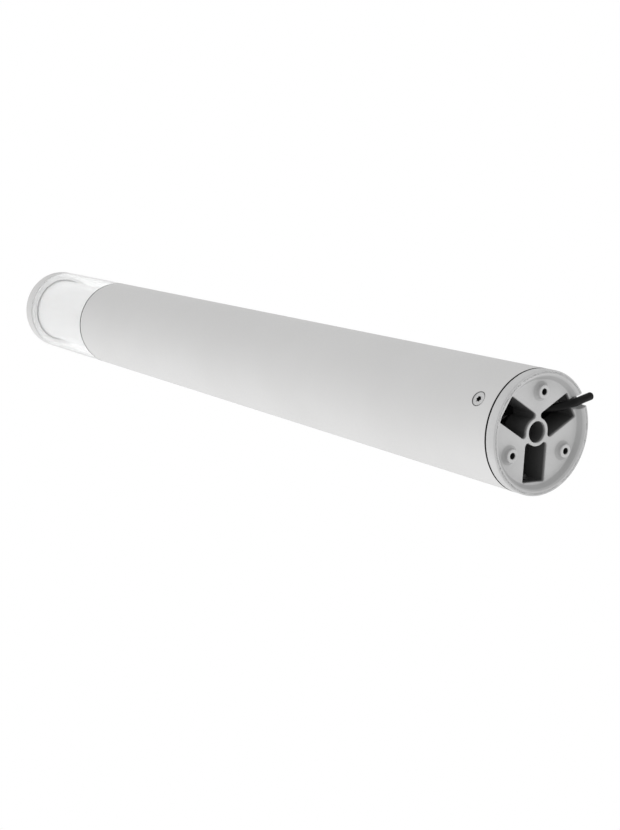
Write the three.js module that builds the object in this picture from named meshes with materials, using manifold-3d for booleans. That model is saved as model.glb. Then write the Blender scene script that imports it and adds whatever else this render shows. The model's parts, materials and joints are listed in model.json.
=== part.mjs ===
// Garden bollard light: an aluminium post on a cast base, with a clear tube, an opal tube and a cap on top.
// Millimetres, +Z up. The origin is the centre of the base's rim, on the ground. The cable leaves at +Y.
import * as THREE from "three";
import { mergeVertices } from "three/addons/utils/BufferGeometryUtils.js";
import Module from "manifold-3d";

const wasm = await Module();
wasm.setup();

// ---- Driving dimensions ----
const DIAMETER = 108; // one flush diameter from the base to the cap
const HEIGHT = 1000;
const GAP = 0.3; // left between pieces that touch
const SIDES = 40; // facets round the outside
const SMALL_SIDES = 10; // facets round a fastener
const R = DIAMETER / 2;
const TAU = 2 * Math.PI;

const RIM_HEIGHT = 10; // the flush band of the base casting
const RIM_WIDTH = 4;
const GASKET_THICKNESS = 0.7;
const POST_WALL = 3;
const POST_BOTTOM = RIM_HEIGHT + GASKET_THICKNESS + 2 * GAP;
const POST_TOP = 812.5;
const BORE = R - POST_WALL;

const FLOOR_BOTTOM = 6.2; // depth of the recess under the base
const FLOOR_TOP = 12.2;
const FLOOR_RADIUS = 44.2; // where the recess floor meets its sloping wall
const SPIGOT_RADIUS = BORE - GAP;
const SPIGOT_WALL = 5.2;
const SPIGOT_TOP = 48;
const SPIGOT_BORE = SPIGOT_RADIUS - SPIGOT_WALL;
const HUB_HOLE = 9.3; // radius of the centre hole
const HUB_RADIUS = 12.3;
const WELL_TOP = 34; // the hub and the ribs beside the windows rise to here

const WINDOW_HALF = 12.3; // half the width of each window in the floor
const WINDOW_OUTER = 43.3;
const WINDOW_INNER_ROUND = 3;
const WINDOW_OUTER_ROUND = 1;
const RIB_THICKNESS = 3;
const RIB_CORNER = { circle: 14.2, radius: 4.2 }; // solid corners where two ribs meet the hub
const ANCHOR_CIRCLE = 35.1; // radius of the circle of anchor holes
const ANCHOR_HOLE = 2.9;
const ANCHOR_BOSS = { radius: 5.7, face: 1.2, flare: 3.2, top: FLOOR_TOP + 2 };
const NOTCH_HALF = 6.5; // the cable's way out through the rim
const NOTCH_ARCH_Z = 2.6;

const SCREW_Z = 30.5; // M6 countersunk screws that lock the post to the base
const SCREW_RADIUS = 3;
const SCREW_HEAD = 6.2;
const SCREW_FACE = R - 0.45; // the flat head lies just inside the round wall
const SCREW_TIP = 38;
const SCREW_STAR = { outer: 2.8, inner: 2, depth: 2.4 }; // the six-lobed recess
const HEAD_GAP = 0.35; // round a screw in its countersink
const SLOT_HALF = 4; // open slots in the spigot let the post lift with its screws
const NUT_PLATE = { inner: 40.4, outer: 44.4, half: 7.5 };
const WINDOW_TURNS = [Math.PI / 2, (7 * Math.PI) / 6, (11 * Math.PI) / 6];
const ANCHOR_TURNS = WINDOW_TURNS.map((turn) => turn + Math.PI / 3);

const CABLE_RADIUS = 3.55;
// The free end of the supply cable: down from its gland, through the window and the notch, along the ground.
const CABLE_ROUTE = [
  [8.2, 16.5, 41.7],
  [8.2, 16.5, 38],
  [7.9, 18.5, 26.4],
  [6.6, 24.2, 16.2],
  [4.4, 32.9, 8.6],
  [1.5, 43.6, 4.6],
  [0, 49.3, 4.1],
  [-2.1, 57, 4],
  [-4.3, 65.4, 4],
];
const GLAND = {
  x: 8.2,
  y: 16.5,
  bottom: 42,
  bodyTop: 52,
  hexBottom: 53.5,
  top: 59.7,
  nutTop: 65.5,
  threadTop: 66,
};
const GLAND_SIZE = { mouth: 7, body: 9.6, thread: 7.7, flats: 19, nutFlats: 20 };
const SHEATH_TOP = 84;
const CORE_RADIUS = 1.25;

const TRAY = { front: -12.6, sheet: 2, half: 30, bottom: WELL_TOP + GAP, plate: 40, top: 334 };
const TRAY_BACK = TRAY.front - TRAY.sheet;
const TRAY_FOOT = { half: 12.5, back: -29 };
const TRAY_SCREW = { x: 8, y: -24.5, column: 4, hole: 2.2, depth: 8 };
const EARTH = { x: -18, z: 90, hole: 2.4 };
const SHELF = { bottom: 60, top: 62, left: -4, right: 21, front: 27 };
const TERMINALS = { left: -4, right: 20, front: 8, bottom: 100, top: 118 };
const TERMINAL_X = [4, 12];
const DRIVER = { half: 20, front: 14, bottom: 140, top: 290, tab: 8, tabSheet: 3 };
const DRIVER_SCREWS = [
  { x: -13, z: 136 },
  { x: 13, z: 294 },
];
const SOCKET = { half: 9, front: -0.6, bottom: 312, top: 332, well: 4.2, wellDepth: 8 };
const PLUG_TOP = 350;
const LEAD_RADIUS = 2.5;
const PAN_HOLE = 2.2; // clearance round an M4 pan-head screw
const M4_PAN = { head: 3.6, height: 2.4, shank: 1.9, length: 6 };
const EARTH_PAN = { head: 4, height: 3, shank: 2, length: 6 };

const HEAD_Z = { seal: POST_TOP + GAP, tube: POST_TOP + 1.2, tubeTop: 980 };
const CLEAR_WALL = 4;
const CLEAR_BORE = R - CLEAR_WALL;
const OPAL_RADIUS = 42;
const OPAL_WALL = 3;
const OPAL_TOP = 990;
const COLLAR = { skirt: 782.5, skirtInner: 44.5, plate: 806.5, hole: 26, lip: 820, lipInner: 46 };
const SINK = { radius: 41, plate: 800.2, fins: 770, finCircle: 27, finYs: [-16, -8, 0, 8, 16], leadY: -24 };
const LED = { board: 23, boardTop: COLLAR.plate + 1.6, lens: 12 };
const ROD_CIRCLE = 33;
const ROD_RADIUS = 2.5;
const ROD = { bottom: 790, top: 990 };
const ROD_NUT = { flats: 8, height: 4.7 };
const CAP_BOTTOM = 981.2;
const CAP_TOP_PLATE = 7;
const CAP_SPIGOT = { inner: 44, bottom: 977 };
const CAP_CHAMFER = 0.8;
const CAP_BOSS = { radius: 5.5, bottom: 976 };

// ---- Materials ----
const material = (color, roughness, metalness, extra = {}) =>
  new THREE.MeshStandardMaterial({ color, roughness, metalness, ...extra });
const SILVER_PAINT = material(0xcfcfcc, 0.5, 0.4);
const CAST = material(0xb9bbb8, 0.6, 0.6);
const STEEL = material(0x9a9c9e, 0.3, 1);
const SHEET = material(0xa9adb0, 0.4, 0.9);
const BLACK_RUBBER = material(0x18181a, 0.7, 0);
const GREY_SILICONE = material(0xa8a9a8, 0.6, 0);
const BLACK_PLASTIC = material(0x202124, 0.5, 0);
const WHITE_PLASTIC = material(0xe8e8e4, 0.5, 0);
const CLEAR = material(0xf4f7f8, 0.05, 0, { transparent: true, opacity: 0.3 });
const OPAL = material(0xf3f1ef, 0.4, 0);
const BOARD = material(0xf0efe6, 0.5, 0);
const PHOSPHOR = material(0xe9d27a, 0.3, 0);
const BROWN = material(0x6b4026, 0.5, 0);
const BLUE = material(0x2b62a8, 0.5, 0);
const GREEN_YELLOW = material(0x8fae2e, 0.5, 0);

// ---- Solids ----
function solidOf(geometry) {
  const plain = geometry.index ? geometry.toNonIndexed() : geometry.clone();
  plain.deleteAttribute("normal");
  plain.deleteAttribute("uv");
  const merged = mergeVertices(plain, 1e-4);
  return new wasm.Manifold(
    new wasm.Mesh({
      numProp: 3,
      vertProperties: merged.attributes.position.array,
      triVerts: new Uint32Array(merged.index.array),
    }),
  );
}

function geometryOf(solid) {
  const { vertProperties, triVerts, numProp } = solid.getMesh();
  const positions = [];
  for (const vertex of triVerts) {
    for (let k = 0; k < 3; k++) positions.push(vertProperties[vertex * numProp + k]);
  }
  const geometry = new THREE.BufferGeometry();
  geometry.setAttribute("position", new THREE.Float32BufferAttribute(positions, 3));
  geometry.computeVertexNormals();
  return geometry;
}

const join = (first, ...rest) => rest.reduce((sum, g) => sum.add(g), first);
const cut = (first, ...rest) => rest.reduce((left, g) => left.subtract(g), first);

// Turns a profile of [radius, z] points about Z. It closes on itself, or starts and ends on the axis.
function turned(profile, sides = SIDES) {
  const points = profile.map(([r, z]) => new THREE.Vector2(r, z));
  const area = points.reduce((sum, p, i) => sum + p.cross(points[(i + 1) % points.length]), 0);
  if (area < 0) points.reverse();
  const onAxis = points[0].x === 0 && points[points.length - 1].x === 0;
  if (!onAxis) points.push(points[0].clone());
  const lathe = new THREE.LatheGeometry(points, sides);
  lathe.rotateX(Math.PI / 2);
  return solidOf(lathe);
}

const ring = (outer, inner, bottom, top, sides = SIDES) =>
  turned([[inner, bottom], [outer, bottom], [outer, top], [inner, top]], sides);

const disc = (radius, bottom, top, sides = SMALL_SIDES) =>
  turned([[0, bottom], [radius, bottom], [radius, top], [0, top]], sides);

function block(left, right, back, front, bottom, top) {
  const box = new THREE.BoxGeometry(right - left, front - back, top - bottom);
  box.translate((left + right) / 2, (back + front) / 2, (bottom + top) / 2);
  return solidOf(box);
}

function prism(shape, bottom, top, curveSegments = 3) {
  const depth = top - bottom;
  const extruded = new THREE.ExtrudeGeometry(shape, { depth, bevelEnabled: false, curveSegments });
  extruded.translate(0, 0, bottom);
  return solidOf(extruded);
}

function tube(route, radius, sides, steps) {
  const section = new THREE.Shape();
  for (let i = 0; i < sides; i++) {
    const a = (i / sides) * TAU;
    section[i ? "lineTo" : "moveTo"](radius * Math.cos(a), radius * Math.sin(a));
  }
  const path = new THREE.CatmullRomCurve3(route.map((p) => new THREE.Vector3(...p)));
  return solidOf(new THREE.ExtrudeGeometry(section, { steps, bevelEnabled: false, extrudePath: path }));
}

const turn = (solid, angle) => solid.rotate([0, 0, THREE.MathUtils.radToDeg(angle)]);
const move = (solid, x, y, z = 0) => solid.translate([x, y, z]);
const polar = (radius, angle) => [radius * Math.cos(angle), radius * Math.sin(angle)];

// Stands a solid made about Z so that its own +Z points outwards along the ray at this angle.
const outwards = (solid, angle, z) => move(turn(solid.rotate([0, 90, 0]), angle), 0, 0, z);

function hexagon(acrossFlats) {
  const shape = new THREE.Shape();
  const corner = acrossFlats / Math.sqrt(3);
  for (let i = 0; i < 6; i++) {
    const [x, y] = polar(corner, (i * TAU) / 6);
    shape[i ? "lineTo" : "moveTo"](x, y);
  }
  return shape;
}

function panScrew({ head, height, shank, length }) {
  return turned(
    [
      [0, -length],
      [shank, -length],
      [shank, 0],
      [head, 0],
      [head, height * 0.6],
      [head * 0.7, height],
      [0, height],
    ],
    SMALL_SIDES,
  );
}

// ---- The object's tree ----
const bollard = new THREE.Group();
const baseGroup = new THREE.Group();
const postGroup = new THREE.Group();
const headGroup = new THREE.Group();
bollard.add(baseGroup, postGroup);
postGroup.add(headGroup);

function add(group, name, solid, look) {
  const mesh = new THREE.Mesh(geometryOf(solid), look);
  mesh.name = name;
  group.add(mesh);
  return mesh;
}

// ---- Base casting ----
function windowOutline() {
  const side = WINDOW_HALF - WINDOW_INNER_ROUND;
  const reach = HUB_RADIUS + WINDOW_INNER_ROUND;
  const cornerY = Math.sqrt(reach * reach - side * side);
  const contact = Math.atan2(cornerY, side);
  const outer = WINDOW_OUTER_ROUND;
  const shape = new THREE.Shape();
  shape.moveTo(WINDOW_HALF, cornerY);
  shape.lineTo(WINDOW_HALF, WINDOW_OUTER - outer);
  shape.absarc(WINDOW_HALF - outer, WINDOW_OUTER - outer, outer, 0, Math.PI / 2, false);
  shape.lineTo(-WINDOW_HALF + outer, WINDOW_OUTER);
  shape.absarc(-WINDOW_HALF + outer, WINDOW_OUTER - outer, outer, Math.PI / 2, Math.PI, false);
  shape.lineTo(-WINDOW_HALF, cornerY);
  shape.absarc(-side, cornerY, WINDOW_INNER_ROUND, Math.PI, TAU - contact, false);
  shape.absarc(0, 0, HUB_RADIUS, Math.PI - contact, contact, true);
  shape.absarc(side, cornerY, WINDOW_INNER_ROUND, Math.PI + contact, TAU, false);
  return shape;
}

// One anchor boss about Z: a recessed face, a steep side and a flare where it meets the floor.
function anchorBoss() {
  const { radius, face, flare, top } = ANCHOR_BOSS;
  return turned(
    [
      [0, face],
      [radius, face],
      [radius + 0.7, 3.8],
      [radius + 2.2, FLOOR_BOTTOM - 0.6],
      [radius + flare, FLOOR_BOTTOM + 0.2],
      [radius + flare, top],
      [0, top],
    ],
    12,
  );
}

// The two ribs beside the window over +Y, from the hub to the spigot.
function ribs() {
  const inner = RIB_CORNER.circle / 2;
  const rib = (side) => {
    const middle = side * (WINDOW_HALF + RIB_THICKNESS / 2);
    const half = RIB_THICKNESS / 2;
    return block(middle - half, middle + half, inner, SPIGOT_BORE + 1, FLOOR_TOP - 1, WELL_TOP);
  };
  return join(rib(-1), rib(1));
}

function baseCasting() {
  const rimInner = R - RIM_WIDTH;
  const shell = turned([
    [HUB_HOLE, FLOOR_BOTTOM],
    [FLOOR_RADIUS, FLOOR_BOTTOM],
    [FLOOR_RADIUS + 1.6, FLOOR_BOTTOM - 0.7],
    [rimInner - 0.6, 0.6],
    [rimInner, 0],
    [R - 0.4, 0],
    [R, 0.4],
    [R, RIM_HEIGHT],
    [SPIGOT_RADIUS, RIM_HEIGHT],
    [SPIGOT_RADIUS, SPIGOT_TOP],
    [SPIGOT_BORE, SPIGOT_TOP],
    [SPIGOT_BORE, FLOOR_TOP],
    [HUB_RADIUS, FLOOR_TOP],
    [HUB_RADIUS, WELL_TOP],
    [HUB_HOLE, WELL_TOP],
  ]);
  const atAnchors = (solid, radius) => ANCHOR_TURNS.map((a) => move(solid, ...polar(radius, a)));
  const atWindows = (solid) => WINDOW_TURNS.map((a) => turn(solid, a - Math.PI / 2));
  const atTrayScrews = (solid) => [-1, 1].map((side) => move(solid, TRAY_SCREW.x * side, TRAY_SCREW.y));
  const additions = [
    ...atAnchors(anchorBoss(), ANCHOR_CIRCLE),
    ...atAnchors(disc(RIB_CORNER.radius, FLOOR_BOTTOM + 1, WELL_TOP, 12), RIB_CORNER.circle),
    ...atWindows(ribs()),
    ...atTrayScrews(disc(TRAY_SCREW.column, FLOOR_TOP - 1, WELL_TOP)),
  ];
  const slot = join(
    outwards(disc(SLOT_HALF, SPIGOT_BORE - 1, SPIGOT_RADIUS + 1), Math.PI / 2, SCREW_Z),
    block(-SLOT_HALF, SLOT_HALF, SPIGOT_BORE - 1, SPIGOT_RADIUS + 1, SCREW_Z, SPIGOT_TOP + 1),
  );
  const notch = join(
    outwards(disc(NOTCH_HALF, WINDOW_OUTER - 1, R + 2, 24), Math.PI / 2, NOTCH_ARCH_Z),
    block(-NOTCH_HALF, NOTCH_HALF, WINDOW_OUTER - 1, R + 2, -1, NOTCH_ARCH_Z),
  );
  const cuts = [
    ...atAnchors(disc(ANCHOR_HOLE, -1, ANCHOR_BOSS.top + 1), ANCHOR_CIRCLE),
    ...atWindows(prism(windowOutline(), FLOOR_BOTTOM - 1, WELL_TOP + 1)),
    ...atWindows(slot),
    notch,
    ...atTrayScrews(disc(TRAY_SCREW.hole, WELL_TOP - TRAY_SCREW.depth, WELL_TOP + 1)),
  ];
  return cut(join(shell, ...additions), ...cuts);
}

add(baseGroup, "base_casting", baseCasting(), CAST);
const gasketBottom = RIM_HEIGHT + GAP;
const gasket = ring(R - 0.6, SPIGOT_RADIUS + GAP, gasketBottom, gasketBottom + GASKET_THICKNESS);
add(baseGroup, "base_gasket", gasket, BLACK_RUBBER);

// ---- Gear tray, which stays on the base when the post is lifted off ----
function gearTray() {
  const { front, half, sheet, bottom, plate, top } = TRAY;
  const upright = block(-TRAY_FOOT.half, TRAY_FOOT.half, TRAY_BACK, front, bottom, plate + 1);
  const sides = block(-half, half, TRAY_BACK, front, plate, top);
  const foot = block(-TRAY_FOOT.half, TRAY_FOOT.half, TRAY_FOOT.back, front, bottom, bottom + sheet);
  const shelf = block(SHELF.left, SHELF.right, TRAY_BACK, SHELF.front, SHELF.bottom, SHELF.top);
  const glandDisc = disc(GLAND_SIZE.thread + GAP, SHELF.bottom - 1, SHELF.top + 1, 16);
  const glandHole = move(glandDisc, GLAND.x, GLAND.y);
  const footHoles = [-1, 1].map((side) =>
    move(disc(TRAY_SCREW.hole, bottom - 1, bottom + sheet + 1), TRAY_SCREW.x * side, TRAY_SCREW.y),
  );
  const through = ({ x, z }, radius) => move(disc(radius, -1, sheet + 2).rotate([90, 0, 0]), x, front + 1, z);
  const plateHoles = [...DRIVER_SCREWS.map((spot) => through(spot, PAN_HOLE)), through(EARTH, EARTH.hole)];
  return cut(join(upright, sides, foot, shelf), glandHole, ...footHoles, ...plateHoles);
}

add(baseGroup, "gear_tray", gearTray(), SHEET);
for (const [i, side] of [-1, 1].entries()) {
  const screw = panScrew(M4_PAN);
  const seat = TRAY.bottom + TRAY.sheet + GAP;
  add(baseGroup, `tray_screw_${i + 1}`, move(screw, TRAY_SCREW.x * side, TRAY_SCREW.y, seat), STEEL);
}

// ---- Supply cable, its gland and its cores ----
const cableHole = CABLE_RADIUS + GAP;
const glandBody = cut(
  join(
    turned(
      [
        [cableHole, GLAND.bottom],
        [GLAND_SIZE.mouth, GLAND.bottom],
        [GLAND_SIZE.body, GLAND.bottom + 4],
        [GLAND_SIZE.body, GLAND.bodyTop],
        [GLAND_SIZE.thread, GLAND.bodyTop],
        [GLAND_SIZE.thread, GLAND.threadTop],
        [cableHole, GLAND.threadTop],
      ],
      16,
    ),
    prism(hexagon(GLAND_SIZE.flats), GLAND.hexBottom, GLAND.top),
  ),
  disc(cableHole, GLAND.bottom - 1, GLAND.threadTop + 1, 24),
);
add(baseGroup, "cable_gland", move(glandBody, GLAND.x, GLAND.y), BLACK_PLASTIC);
const lockNut = cut(
  prism(hexagon(GLAND_SIZE.nutFlats), SHELF.top + GAP, GLAND.nutTop),
  disc(GLAND_SIZE.thread + GAP, SHELF.top, GLAND.nutTop + 1, 24),
);
add(baseGroup, "gland_locknut", move(lockNut, GLAND.x, GLAND.y), BLACK_PLASTIC);
add(baseGroup, "supply_cable", tube(CABLE_ROUTE, CABLE_RADIUS, 10, 24), BLACK_RUBBER);
const sheath = move(disc(CABLE_RADIUS, GLAND.threadTop + GAP, SHEATH_TOP, 16), GLAND.x, GLAND.y);
add(baseGroup, "cable_sheath_end", sheath, BLACK_RUBBER);

const coreStart = SHEATH_TOP + GAP;
const cores = [
  ["core_live", [TERMINAL_X[1], 0, 104], [1.9, -0.6], BROWN],
  ["core_neutral", [TERMINAL_X[0], 0, 104], [-1.9, -0.6], BLUE],
];
for (const [name, [x, y, z], [dx, dy], look] of cores) {
  const route = [
    [GLAND.x + dx, GLAND.y + dy, coreStart],
    [GLAND.x + dx, GLAND.y + dy, coreStart + 2],
    [(GLAND.x + dx + x) / 2, (GLAND.y + dy + y) / 2, 92],
    [x, y, 98],
    [x, y, z],
  ];
  add(baseGroup, name, tube(route, CORE_RADIUS, 8, 12), look);
}
const earthRoute = [
  [GLAND.x, GLAND.y + 2, coreStart],
  [GLAND.x - 1, GLAND.y + 2, coreStart + 4],
  [-3, 10, coreStart + 10],
  [-13, 0, EARTH.z + 2],
  [EARTH.x, -5.4, EARTH.z],
];
add(baseGroup, "core_earth", tube(earthRoute, CORE_RADIUS, 8, 14), GREEN_YELLOW);
const stud = panScrew(EARTH_PAN).rotate([-90, 0, 0]);
add(baseGroup, "earth_screw", move(stud, EARTH.x, TRAY.front + GAP, EARTH.z), STEEL);

function terminalBlock() {
  const { left, right, front, bottom, top } = TERMINALS;
  const body = block(left, right, TRAY.front + GAP, front, bottom, top);
  const entries = TERMINAL_X.flatMap((x) => [
    move(disc(1.7, bottom - 1, bottom + 6), x, 0),
    move(disc(1.7, top - 6, top + 1), x, 0),
    move(disc(2, 0, 4).rotate([-90, 0, 0]), x, front - 3, (bottom + top) / 2),
  ]);
  return cut(body, ...entries);
}
add(baseGroup, "terminal_block", terminalBlock(), WHITE_PLASTIC);
for (const [i, [name, look]] of [["driver_wire_neutral", BLUE], ["driver_wire_live", BROWN]].entries()) {
  const x = TERMINAL_X[i];
  const wire = move(disc(CORE_RADIUS, TERMINALS.top - 4, DRIVER.bottom - GAP, 8), x, 0);
  add(baseGroup, name, wire, look);
}

// ---- LED driver and the plug connection ----
function driver() {
  const back = TRAY.front + GAP;
  const { half, front, bottom, top, tab, tabSheet } = DRIVER;
  const body = block(-half, half, back, front, bottom, top);
  const lowTab = block(-half, -half / 3, back, back + tabSheet, bottom - tab, bottom + 1);
  const highTab = block(half / 3, half, back, back + tabSheet, top - 1, top + tab);
  const holes = DRIVER_SCREWS.map(({ x, z }) => move(disc(PAN_HOLE, -1, 5).rotate([-90, 0, 0]), x, back, z));
  return cut(join(body, lowTab, highTab), ...holes);
}
add(baseGroup, "led_driver", driver(), WHITE_PLASTIC);
for (const [i, { x, z }] of DRIVER_SCREWS.entries()) {
  const screw = panScrew(M4_PAN).rotate([-90, 0, 0]);
  add(baseGroup, `driver_screw_${i + 1}`, move(screw, x, TRAY.front + 2 * GAP + DRIVER.tabSheet, z), STEEL);
}
const plugY = (TRAY.front + GAP + SOCKET.front) / 2;
const outputLead = [
  [-8, plugY, DRIVER.top + GAP],
  [-8, plugY, DRIVER.top + 5],
  [0, plugY, SOCKET.bottom - 6],
  [0, plugY, SOCKET.bottom - GAP],
];
add(baseGroup, "output_lead", tube(outputLead, LEAD_RADIUS, 8, 8), BLACK_RUBBER);
function socket() {
  const { half, front, bottom, top, well, wellDepth } = SOCKET;
  const body = block(-half, half, TRAY.front + GAP, front, bottom, top);
  return cut(body, move(disc(well, top - wellDepth, top + 1), 0, plugY));
}
add(baseGroup, "lead_socket", socket(), BLACK_PLASTIC);

// ---- Post, with its captive nut plates ----
function countersunkSpace() {
  const neck = SCREW_RADIUS + HEAD_GAP;
  const outside = R + 2;
  return turned(
    [
      [0, BORE - 3],
      [neck, BORE - 3],
      [neck, SCREW_FACE - (SCREW_HEAD - SCREW_RADIUS)],
      [neck + outside - SCREW_FACE + (SCREW_HEAD - SCREW_RADIUS), outside],
      [0, outside],
    ],
    16,
  );
}

const post = ring(R, BORE, POST_BOTTOM, POST_TOP);
const screwSpaces = WINDOW_TURNS.map((a) => outwards(countersunkSpace(), a, SCREW_Z));
add(postGroup, "post_tube", cut(post, ...screwSpaces), SILVER_PAINT);

function starOutline({ outer, inner }) {
  const shape = new THREE.Shape();
  const steps = 24;
  for (let i = 0; i < steps; i++) {
    const a = (i / steps) * TAU;
    const r = (outer + inner) / 2 + ((outer - inner) / 2) * Math.cos(6 * a);
    shape[i ? "lineTo" : "moveTo"](r * Math.cos(a), r * Math.sin(a));
  }
  return shape;
}

function lockingScrew() {
  const headDepth = SCREW_HEAD - SCREW_RADIUS;
  const body = turned(
    [
      [0, SCREW_TIP],
      [SCREW_RADIUS - 0.8, SCREW_TIP],
      [SCREW_RADIUS, SCREW_TIP + 0.8],
      [SCREW_RADIUS, SCREW_FACE - headDepth],
      [SCREW_HEAD, SCREW_FACE],
      [0, SCREW_FACE],
    ],
    16,
  );
  return cut(body, prism(starOutline(SCREW_STAR), SCREW_FACE - SCREW_STAR.depth, SCREW_FACE + 1));
}

function nutPlate() {
  const { inner, outer, half } = NUT_PLATE;
  const plate = block(inner, outer, -half, half, SCREW_Z - half, SCREW_Z + half);
  return cut(plate, outwards(disc(SCREW_RADIUS + GAP, inner - 1, outer + 1), 0, SCREW_Z));
}

for (const [i, angle] of WINDOW_TURNS.entries()) {
  add(postGroup, `nut_plate_${i + 1}`, turn(nutPlate(), angle), STEEL);
  add(bollard, `locking_screw_${i + 1}`, outwards(lockingScrew(), angle, SCREW_Z), STEEL);
}

// ---- Lead from the head, which unplugs as the post is lifted ----
const plugBody = join(
  block(-8, 8, TRAY.front + 1, SOCKET.front, SOCKET.top + GAP, PLUG_TOP),
  move(disc(SOCKET.well - 0.4, SOCKET.top - SOCKET.wellDepth + 1, SOCKET.top + 1), 0, plugY),
);
add(postGroup, "lead_plug", plugBody, BLACK_PLASTIC);
const leadRoute = [
  [0, plugY, PLUG_TOP + GAP],
  [0, plugY, PLUG_TOP + 12],
  [0, -28, 395],
  [0, -44, 440],
  [0, -45, 480],
  [0, -45, 590],
  [0, -45, 690],
  [0, -43, 725],
  [0, -27, 762],
  [0, SINK.leadY, 785],
  [0, SINK.leadY, COLLAR.plate - 2 * GAP],
];
add(postGroup, "head_lead", tube(leadRoute, LEAD_RADIUS, 8, 28), BLACK_RUBBER);

// ---- Head: collar, lamp, tubes and cap ----
const collar = turned([
  [COLLAR.hole, COLLAR.plate],
  [COLLAR.skirtInner, COLLAR.plate],
  [COLLAR.skirtInner, COLLAR.skirt],
  [SPIGOT_RADIUS, COLLAR.skirt],
  [SPIGOT_RADIUS, POST_TOP],
  [CLEAR_BORE - GAP, POST_TOP],
  [CLEAR_BORE - GAP, COLLAR.lip],
  [COLLAR.lipInner, COLLAR.lip],
  [COLLAR.lipInner, POST_TOP],
  [COLLAR.hole, POST_TOP],
]);
const rodHoles = (bottom, top) =>
  ANCHOR_TURNS.map((a) => move(disc(ROD_RADIUS + GAP, bottom, top), ...polar(ROD_CIRCLE, a)));
add(headGroup, "head_collar", cut(collar, ...rodHoles(COLLAR.plate - 1, POST_TOP + 1)), CAST);

function heatSink() {
  const plate = disc(SINK.radius, SINK.plate, COLLAR.plate - GAP, 48);
  const fins = SINK.finYs.map((y) => {
    const half = Math.sqrt(SINK.finCircle ** 2 - y * y);
    return block(-half, half, y - 1, y + 1, SINK.fins, SINK.plate + 1);
  });
  const leadHole = move(disc(LEAD_RADIUS + 0.5, SINK.plate - 1, COLLAR.plate), 0, SINK.leadY);
  return cut(join(plate, ...fins), leadHole, ...rodHoles(SINK.plate - 1, COLLAR.plate));
}
add(headGroup, "heat_sink", heatSink(), SHEET);
add(headGroup, "led_board", disc(LED.board, COLLAR.plate, LED.boardTop, 36), BOARD);
const lens = turned(
  [
    [0, LED.boardTop + GAP],
    [LED.lens, LED.boardTop + GAP],
    [LED.lens, LED.boardTop + 2],
    [LED.lens * 0.8, LED.boardTop + 6],
    [LED.lens * 0.4, LED.boardTop + 8],
    [0, LED.boardTop + 8.4],
  ],
  32,
);
add(headGroup, "led_lens", lens, PHOSPHOR);

for (const [i, angle] of ANCHOR_TURNS.entries()) {
  const [x, y] = polar(ROD_CIRCLE, angle);
  add(headGroup, `tie_rod_${i + 1}`, move(disc(ROD_RADIUS, ROD.bottom, ROD.top, 12), x, y), STEEL);
  const nut = cut(
    prism(hexagon(ROD_NUT.flats), SINK.plate - GAP - ROD_NUT.height, SINK.plate - GAP),
    disc(ROD_RADIUS + GAP, SINK.plate - GAP - ROD_NUT.height - 1, SINK.plate + 1, 12),
  );
  add(headGroup, `rod_nut_${i + 1}`, move(nut, x, y), STEEL);
}

add(headGroup, "lower_seal", ring(R - 0.4, CLEAR_BORE, HEAD_Z.seal, HEAD_Z.tube - GAP), GREY_SILICONE);
add(headGroup, "clear_tube", ring(R, CLEAR_BORE, HEAD_Z.tube, HEAD_Z.tubeTop), CLEAR);
const opal = ring(OPAL_RADIUS, OPAL_RADIUS - OPAL_WALL, POST_TOP + GAP, OPAL_TOP);
add(headGroup, "opal_tube", opal, OPAL);
const upperSeal = ring(R - 0.4, CLEAR_BORE, HEAD_Z.tubeTop + GAP, CAP_BOTTOM - GAP);
add(headGroup, "upper_seal", upperSeal, GREY_SILICONE);

function topCap() {
  const underside = HEIGHT - CAP_TOP_PLATE;
  const shell = turned([
    [0, underside],
    [CAP_SPIGOT.inner, underside],
    [CAP_SPIGOT.inner, CAP_SPIGOT.bottom],
    [CLEAR_BORE - GAP, CAP_SPIGOT.bottom],
    [CLEAR_BORE - GAP, CAP_BOTTOM],
    [R - 0.4, CAP_BOTTOM],
    [R, CAP_BOTTOM + 0.4],
    [R, HEIGHT - CAP_CHAMFER],
    [R - CAP_CHAMFER, HEIGHT],
    [0, HEIGHT],
  ]);
  const bosses = ANCHOR_TURNS.map((a) =>
    move(disc(CAP_BOSS.radius, CAP_BOSS.bottom, underside + 1), ...polar(ROD_CIRCLE, a)),
  );
  return cut(join(shell, ...bosses), ...rodHoles(CAP_BOSS.bottom - 1, ROD.top + 1));
}
add(headGroup, "top_cap", topCap(), SILVER_PAINT);

export default bollard;
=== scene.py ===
"""Garden bollard light, seen from its foot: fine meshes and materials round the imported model."""
import json
import math

import bmesh
import bpy
from mathutils import Matrix, Vector


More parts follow.
